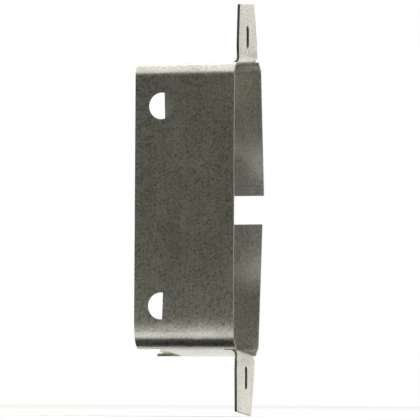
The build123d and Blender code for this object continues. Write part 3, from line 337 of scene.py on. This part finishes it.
ALONG_Z = (5000, 5000, 120)
ALONG_X = (120, 5000, 5000)
finishes = {
    "housing_steel": housing_steel(),
    "chassis_steel": plain_metal(
        "chassis_steel", (0.44, 0.45, 0.45), (0.66, 0.67, 0.66), 0.32, 320.0, ALONG_X, 0.25
    ),
    "screw_steel": plain_metal("screw_steel", (0.50, 0.50, 0.49), (0.74, 0.74, 0.72), 0.22, 1400.0),
    "cast_steel": cast_steel(),
    "keeper_steel": plain_metal(
        "keeper_steel", (0.33, 0.32, 0.31), (0.56, 0.55, 0.53), 0.30, 380.0, ALONG_X, 0.30
    ),
    "pin_steel": plain_metal(
        "pin_steel", (0.55, 0.55, 0.55), (0.74, 0.74, 0.73), 0.16, 900.0, (900, 900, 12000)
    ),
    "clip_steel": plain_metal("clip_steel", (0.05, 0.05, 0.055), (0.13, 0.13, 0.14), 0.34, 1100.0),
    "spring_steel": plain_metal(
        "spring_steel", (0.38, 0.38, 0.39), (0.62, 0.62, 0.63), 0.22, 1600.0
    ),
    "frame_steel": passivated_zinc(),
    "bobbin_plastic": moulded_plastic(
        "bobbin_plastic", (0.66, 0.63, 0.54), (0.80, 0.77, 0.68), 0.48
    ),
    "copper_wire": copper_wire(),
    "coil_tape": coil_tape(),
    "block_plastic": moulded_plastic(
        "block_plastic", (0.016, 0.070, 0.036), (0.030, 0.115, 0.060), 0.42
    ),
    "clamp_brass": plain_metal("clamp_brass", (0.56, 0.48, 0.28), (0.78, 0.70, 0.46), 0.26, 1200.0),
    "lead_insulation": moulded_plastic(
        "lead_insulation", (0.36, 0.012, 0.010), (0.50, 0.028, 0.020), 0.34, 0.5, 0.2
    ),
}
for row in frame["record"]["subparts"]:
    for material_slot in nodes[row["node"]].material_slots:
        material_slot.link = "OBJECT"
        material_slot.material = finishes[row["material_slot"]]


# ------------------------------------------------------------------ wound coil
def wound_coil(name, node, wire_diameter, round_steps=96):
    """The winding as stacked turns of round wire, in the space of its CAD ring."""
    low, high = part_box(node)
    centre = (Vector(low) + Vector(high)) / 2
    outer = (high[0] - low[0]) / 2
    turns = int((high[2] - low[2]) / wire_diameter)
    wire_r = (high[2] - low[2]) / turns / 2
    inner = outer - 4 * wire_r

    # Half-round turns from the bottom to the top, closed by a plain inner wall
    profile = [(inner, low[2])]
    for turn in range(turns):
        middle = low[2] + (2 * turn + 1) * wire_r
        for step in range(1, 6):
            angle = pi * step / 6 - pi / 2
            profile.append((outer - wire_r + wire_r * cos(angle), middle + wire_r * sin(angle)))
    profile.append((inner, high[2]))

    vertices = []
    for step in range(round_steps):
        angle = 2 * pi * step / round_steps
        for radius, z in profile:
            vertices.append((centre.x + radius * cos(angle), centre.y + radius * sin(angle), z))
    count = len(profile)
    faces = []
    for step in range(round_steps):
        here = step * count
        there = (step + 1) % round_steps * count
        for row in range(count):
            up = (row + 1) % count
            faces.append((here + row, there + row, there + up, here + up))
    mesh = bpy.data.meshes.new(name)
    mesh.from_pydata(vertices, [], faces)
    mesh.shade_smooth()
    piece = bpy.data.objects.new(name, mesh)
    bpy.context.scene.collection.objects.link(piece)
    piece.data.materials.append(finishes["copper_wire"])
    return piece


coil_turns = wound_coil("coil_turns", "coil_winding", 0.28 * MM)
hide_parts("coil_winding")
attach(coil_turns, "strike_body")


# ------------------------------------------------------------------ studio
def pale_floor():
    """A plain pale disc just under the object; the closed panel stands near its front edge."""
    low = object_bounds()[0]
    radius = 1.2
    front_edge = -0.076
    steps = 192
    gap = 0.2 * MM
    z = low[2] - gap
    mesh = bpy.data.meshes.new("floor")
    angles = [2 * pi * step / steps for step in range(steps)]
    rim = [(radius * cos(a), front_edge + radius + radius * sin(a), z) for a in angles]
    mesh.from_pydata(rim, [], [tuple(range(steps))])
    floor = bpy.data.objects.new("floor", mesh)
    bpy.context.scene.collection.objects.link(floor)
    material, g = new_material("floor_paper")
    tooth = g.noise(g.place(), 700.0, 3.0, 0.6)
    colour = g.mix(g.ramp(tooth, 0.3, 0.7), rgb(0.79, 0.79, 0.785), rgb(0.83, 0.83, 0.825))
    close_material(material, g, {"Base Color": colour, "Roughness": 0.9})
    mesh.materials.append(material)
    floor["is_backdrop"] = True


def shade_reflection_card():
    """A matt black card on the floor before the closed panel, seen only in reflections: a painted
    reflection that darkens the lower bend as if the floor under the object lay in shade.
    """
    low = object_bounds()[0]
    x_range = (-0.085, 0.030)
    y_range = (-0.050, -0.004)
    z = low[2] - 0.1 * MM
    mesh = bpy.data.meshes.new("card")
    corners = [(x_range[0], y_range[0], z), (x_range[1], y_range[0], z)]
    corners += [(x_range[1], y_range[1], z), (x_range[0], y_range[1], z)]
    mesh.from_pydata(corners, [], [(0, 1, 2, 3)])
    card = bpy.data.objects.new("card", mesh)
    bpy.context.scene.collection.objects.link(card)
    card.visible_camera = False
    card.visible_diffuse = False
    card.visible_shadow = False
    material, g = new_material("card_felt")
    nap = g.noise(g.place(), 900.0, 3.0, 0.6)
    colour = g.mix(g.ramp(nap, 0.3, 0.7), rgb(0.010, 0.010, 0.010), rgb(0.025, 0.025, 0.025))
    close_material(material, g, {"Base Color": colour, "Roughness": 1.0})
    mesh.materials.append(material)
    card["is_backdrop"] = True


def studio_air():
    """White to the camera; to the rest a soft surround, dark on the closed panel's side."""
    world = bpy.data.worlds.new("studio_air")
    bpy.context.scene.world = world
    world.use_nodes = True
    g = Graph(world.node_tree)
    direction = g.add("ShaderNodeTexCoord").outputs["Generated"]
    parts = g.add("ShaderNodeSeparateXYZ", {"Vector": direction}).outputs
    behind = g.ramp(parts[1], 0.10, 0.60)
    above = g.ramp(parts[2], 0.36, 0.64)
    dark_zone = g.ramp(parts[2], 0.30, -0.10, 0.050, 0.110)
    level = g.math("ADD", dark_zone, g.math("MULTIPLY", behind, 0.74))
    level = g.math("ADD", level, g.math("MULTIPLY", above, 1.10))
    tint = g.mix(g.ramp(level, 0.05, 0.6), rgb(1.0, 1.0, 0.84), rgb(1.0, 0.99, 0.97))
    surround = g.add("ShaderNodeBackground", {"Color": tint, "Strength": level})
    paper = g.add("ShaderNodeBackground", {"Color": rgb(1, 1, 1), "Strength": 1.0})
    seen = g.add("ShaderNodeLightPath").outputs["Is Camera Ray"]
    both = g.add("ShaderNodeMixShader", {0: seen, 1: surround.outputs[0], 2: paper.outputs[0]})
    g.add("ShaderNodeOutputWorld", {"Surface": both.outputs[0]})


def soft_light(name, place, aim, size, power, tint=(1.0, 1.0, 1.0)):
    """A rectangular soft light at place, in metres, turned to aim."""
    light = bpy.data.lights.new(name, "AREA")
    light.shape = "RECTANGLE"
    light.size, light.size_y = size
    light.energy = power
    light.color = tint
    lamp = bpy.data.objects.new(name, light)
    lamp.location = place
    lamp.rotation_euler = (Vector(aim) - Vector(place)).to_track_quat("-Z", "Y").to_euler()
    lamp.visible_camera = False
    bpy.context.scene.collection.objects.link(lamp)


def photo_camera():
    """A long lens beyond the closed panel's side, turned towards the front and just below level."""
    azimuth = radians(17.5)
    elevation = radians(-3.0)
    roll = radians(0.3)
    distance = 1.1
    view_width = 127.3 * MM
    aim_left = 11.15 * MM
    aim_below = 0.9 * MM

    back = Vector((sin(azimuth) * cos(elevation), -cos(azimuth) * cos(elevation), sin(elevation)))
    right = Vector((cos(azimuth), sin(azimuth), 0))
    up = back.cross(right)
    origin = -right * aim_left - up * aim_below
    camera_data = bpy.data.cameras.new("camera")
    camera_data.sensor_width = 36.0
    camera_data.lens = camera_data.sensor_width * distance / view_width
    camera_data.clip_start = 0.01
    camera = bpy.data.objects.new("camera", camera_data)
    turn = Matrix((right, up, back)).transposed().to_4x4() @ Matrix.Rotation(roll, 4, "Z")
    camera.matrix_world = Matrix.Translation(origin + back * distance) @ turn
    bpy.context.scene.collection.objects.link(camera)
    bpy.context.scene.camera = camera


pale_floor()
# painted reflection: a dark card seen only in the lower bend's reflection
shade_reflection_card()
studio_air()
soft_light("rear_light", (-0.20, -0.20, 0.0), (-0.02, 0, 0), (0.05, 0.12), 0.012)
soft_light("front_light", (0.8, 0.10, 0.15), (-0.01, 0, 0), (1.5, 1.7), 12.0)
soft_light("apron_light", (-0.045, -0.068, -0.0575), (-0.015, -0.014, -0.040), (0.16, 0.006), 0.006)
photo_camera()
bpy.context.scene.view_settings.view_transform = "Standard"
